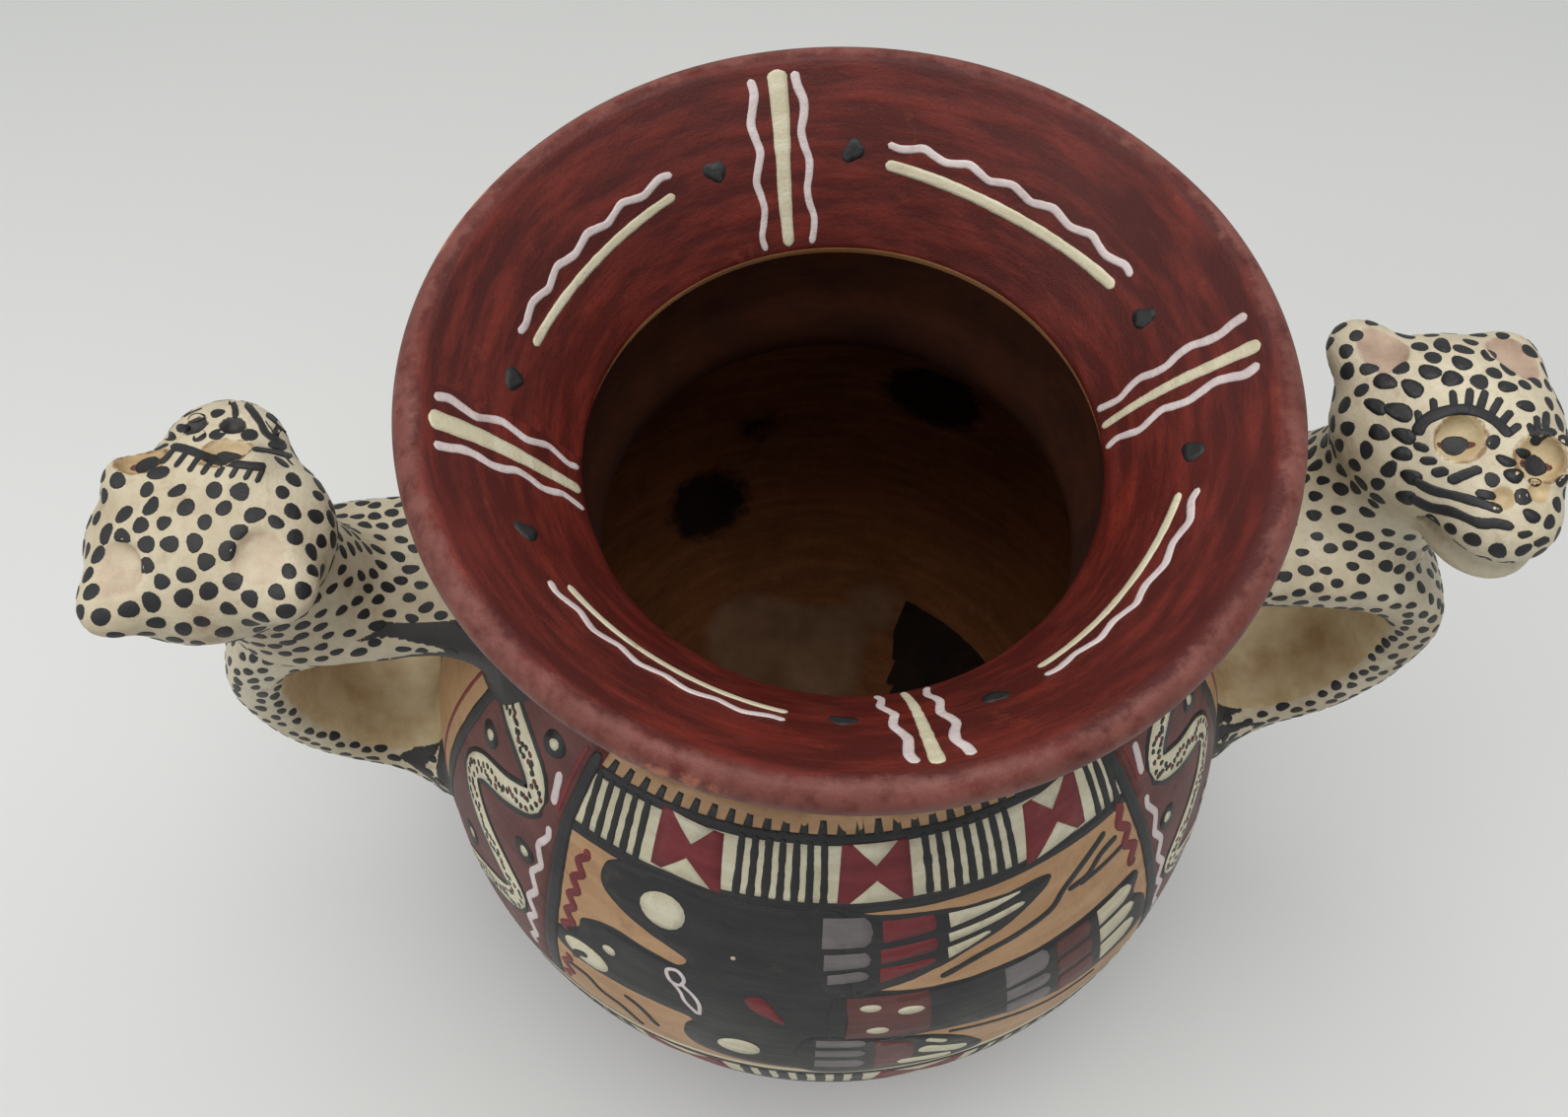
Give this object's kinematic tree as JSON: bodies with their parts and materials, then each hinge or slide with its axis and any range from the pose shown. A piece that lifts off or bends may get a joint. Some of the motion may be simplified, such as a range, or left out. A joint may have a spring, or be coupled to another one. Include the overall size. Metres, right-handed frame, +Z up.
{
  "type": "pottery vase",
  "caption": "Round-bellied pottery vase with a broad flared rim, a funnel-shaped mouth and strap handles that carry sculpted heads of spotted cats.",
  "frame": {"origin": "centre of the flat base, on the surface the vase stands on", "axes": "+Z up along the axis of the turned body, +X through the middle of the right handle, -Y towards the front painted panel"},
  "size_m": [0.2758, 0.1878, 0.229],
  "materials": {
    "fired_clay": "satin burnished slip"
  },
  "bodies": {
    "root": {"vase": "fired_clay"}
  },
  "joints": []
}
